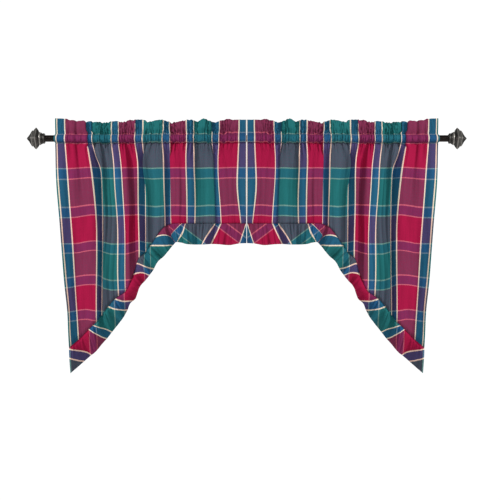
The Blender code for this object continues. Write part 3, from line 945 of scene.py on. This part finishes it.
# along: how far the brushing is drawn out along the rod
metals = {
    "bronze": {
        "dark": (0.012, 0.009, 0.008, 1), "light": (0.080, 0.058, 0.048, 1), "rough": 0.22,
        "along": 9, "bareAndHighlight": 0.0,
    },
    "pewter": {
        # the pewter's light colour is its bare metal, also used for the painted highlight
        "dark": (0.010, 0.0095, 0.0085, 1), "light": (0.34, 0.325, 0.30, 1), "rough": 0.46,
        "along": 60, "bareAndHighlight": 0.9,
    },
}
patina = {
    # mottling and pitting: scale and detail. patchy: how the mottling is scaled and where it starts
    "brushing": 900, "mottling": (120, 4), "pitting": (900, 2), "patchy": (1.4, -0.7),
    "patchyShow": 0.3, "brushedShow": 0.3, "bareAndHighlightStart": 0.08, "metallic": 0.85,
    "roughMottled": 0.25, "roughBrushed": 0.08, "roughStart": 0.12, "relief": 0.6,
    "bump": (0.25, 0.0003),
}


def metalFinish(name, metal):
    # dark patina with brushing, mottling and small pits, made lighter where the piece is marked as worn:
    # rubbed bare metal, and on the finial's rings and raised edges a painted highlight
    material, tree, shader = newMaterial(name)
    place = addNode(tree, "TexCoord").outputs["Object"]
    stretch = addNode(tree, "Mapping")
    stretch.inputs["Scale"].default_value = (metal["along"], patina["brushing"], patina["brushing"])
    tree.links.new(place, stretch.inputs["Vector"])
    brushed = noiseAt(tree, stretch.outputs[0], 1, 2)
    mottled = noiseAt(tree, place, *patina["mottling"])
    pits = noiseAt(tree, place, *patina["pitting"])
    # the piece's rubbed wear and painted highlight, read from its attribute
    worn = addNode(tree, "Attribute", attribute_name="worn").outputs["Fac"]
    patchy = times(tree, scaleAdd(tree, mottled, *patina["patchy"]), patina["patchyShow"])
    bareAndHighlight = scaleAdd(tree, worn, metal["bareAndHighlight"], patchy)
    uneven = times(tree, plus(tree, brushed, -0.5), patina["brushedShow"])
    bareAndHighlight = plus(tree, bareAndHighlight, uneven)
    clamp = addNode(tree, "Clamp")
    tree.links.new(plus(tree, bareAndHighlight, patina["bareAndHighlightStart"]), clamp.inputs["Value"])
    colour = mixColours(tree, clamp.outputs[0], metal["dark"], metal["light"])
    tree.links.new(colour, shader.inputs["Base Color"])
    shader.inputs["Metallic"].default_value = patina["metallic"]
    rough = scaleAdd(tree, mottled, patina["roughMottled"], metal["rough"] - patina["roughStart"])
    rough = plus(tree, rough, times(tree, brushed, patina["roughBrushed"]))
    tree.links.new(rough, shader.inputs["Roughness"])
    height = scaleAdd(tree, pits, patina["relief"], times(tree, brushed, patina["relief"]))
    addBump(tree, shader, plus(tree, height, mottled), *patina["bump"])
    return material


white = (1, 1, 1, 1)
studio = {
    "floor": -2.1,  # the rod hangs at about the height of a window's head
    "floorRadius": 3.7, "floorSides": 96,
    "floorFinish": {
        "Base Color": (0.85, 0.85, 0.85, 1), "Roughness": 0.9, "Emission Color": white,
        "Emission Strength": 0.35,
    },
    "skyLight": 0.22, "skySeen": 1.05, "frameCentre": (0.012, -0.4048), "frameWidth": 1.815,
    "distance": 4.5, "sensor": 36,
    # place, target, size and power of each softbox
    "side": ((3.6, -2.6, 1.5), (0.35, 0, -0.35), 0.8, 163),
    "front": ((0, -5.0, 1.4), (0, 0, -0.3), 1.6, 90),
    "back": ((0, 4.4, 1.6), (0, 0, -0.3), 2.4, 110),
}


def makeCamera():
    camera = bpy.data.cameras.new("camera")
    camera.sensor_width = studio["sensor"]
    camera.lens = studio["sensor"] * studio["distance"] / studio["frameWidth"]
    obj = linkObject("camera", camera)
    obj.location = (studio["frameCentre"][0], -studio["distance"], studio["frameCentre"][1])
    obj.rotation_euler = (np.pi / 2, 0, 0)
    bpy.context.scene.camera = obj


def makeFloor():
    # a pale floor that is clear from below
    material, tree, shader = newMaterial("studioFloor")
    setSockets(shader, studio["floorFinish"])
    clear = addNode(tree, "BsdfTransparent")
    mix = addNode(tree, "MixShader")
    tree.links.new(addNode(tree, "NewGeometry").outputs["Backfacing"], mix.inputs[0])
    tree.links.new(shader.outputs[0], mix.inputs[1])
    tree.links.new(clear.outputs[0], mix.inputs[2])
    tree.links.new(mix.outputs[0], tree.nodes["Material Output"].inputs["Surface"])
    angles = np.linspace(0, 2 * np.pi, studio["floorSides"], endpoint=False)
    radius = studio["floorRadius"]
    rim = [(radius * np.cos(a), radius * np.sin(a), studio["floor"]) for a in angles]
    mesh = bpy.data.meshes.new("studioFloor")
    mesh.from_pydata(rim, [], [tuple(range(len(rim)))])
    mesh.materials.append(material)
    floor = linkObject("studioFloor", mesh)


def makeSky():
    # white all round, though it lights the piece more softly than it looks
    world = bpy.data.worlds.new("studioSky")
    bpy.context.scene.world = world
    world.use_nodes = True
    tree = world.node_tree
    seen = addNode(tree, "LightPath").outputs["Is Camera Ray"]
    strength = scaleAdd(tree, seen, studio["skySeen"] - studio["skyLight"], studio["skyLight"])
    sky = tree.nodes["Background"]
    sky.inputs["Color"].default_value = white
    tree.links.new(strength, sky.inputs["Strength"])


def makeLight(name, place, target, size, power, lit=None):
    light = bpy.data.lights.new(name, "AREA")
    light.shape = "DISK"
    light.size = size
    light.energy = power
    obj = linkObject(name, light)
    obj.location = place
    aim = Vector(target) - Vector(place)
    obj.rotation_euler = aim.to_track_quat("-Z", "Y").to_euler()
    if lit:
        obj.light_linking.receiver_collection = lit


def makeStudio(halves):
    makeCamera()
    makeFloor()
    makeSky()
    # each half of the pair is lit from its own side, so that both show the same folds
    place, target, size, power = studio["side"]
    for side, half in zip((-1, 1), halves):
        turned = [(side * spot[0], *spot[1:]) for spot in (place, target)]
        makeLight("sideSoftbox", *turned, size, power, half)
    makeLight("frontSoftbox", *studio["front"])
    makeLight("backSoftbox", *studio["back"])
    bpy.context.scene.view_settings.view_transform = "Standard"


cloth = plaidCloth("wovenPlaid")
panelPoints, panelCloth, panelPlain = panelGrid()
panelStitches = stitchMap(panelPlain, drape["hemWidth"], drape["stitchRows"])
panelHems = hemWeights(panelCloth.shape[:2], drape["hemWidth"], 0)
rufflePoints, ruffleCloth, rufflePlain = ruffleGrid()
ruffleRows = (0.0, ruffle["flat"][1] - ruffle["hemWidth"])
ruffleStitches = stitchMap(rufflePlain, ruffle["hemWidth"], ruffleRows)
ruffleHems = hemWeights(ruffleCloth.shape[:2], ruffle["hemWidth"], ruffle["hemRows"])
halves = []
for word, side in (("left", -1), ("right", 1)):
    half = bpy.data.collections.new(word + "Half")
    halves.append(half)
    laid = (panelPoints, panelCloth, panelStitches, panelHems)
    panel = clothSheet("plaidPanel_" + word, *laid, side, cloth)
    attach(panel, "root")
    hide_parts("panel_" + word)
    laid = (rufflePoints, ruffleCloth, ruffleStitches, ruffleHems)
    strip = clothSheet("plaidRuffle_" + word, *laid, side, cloth)
    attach(strip, "root")
    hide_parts("ruffle_" + word)
    half.objects.link(panel)
    half.objects.link(strip)
print("cloth hung")

bar = makeRod()
bar.data.materials.append(metalFinish("bronzeRod", metals["bronze"]))
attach(bar, "root")
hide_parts("rod")
pewter = metalFinish("pewterFinial", metals["pewter"])
for word, side, half in (("left", -1, halves[0]), ("right", 1, halves[1])):
    knob = makeFinial("finial" + word.capitalize(), side)
    knob.data.materials.append(pewter)
    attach(knob, "root")
    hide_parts("finial_" + word)
    half.objects.link(knob)
    half.objects.link(bar)
print("rod and finials turned")
makeStudio(halves)
print("studio ready")
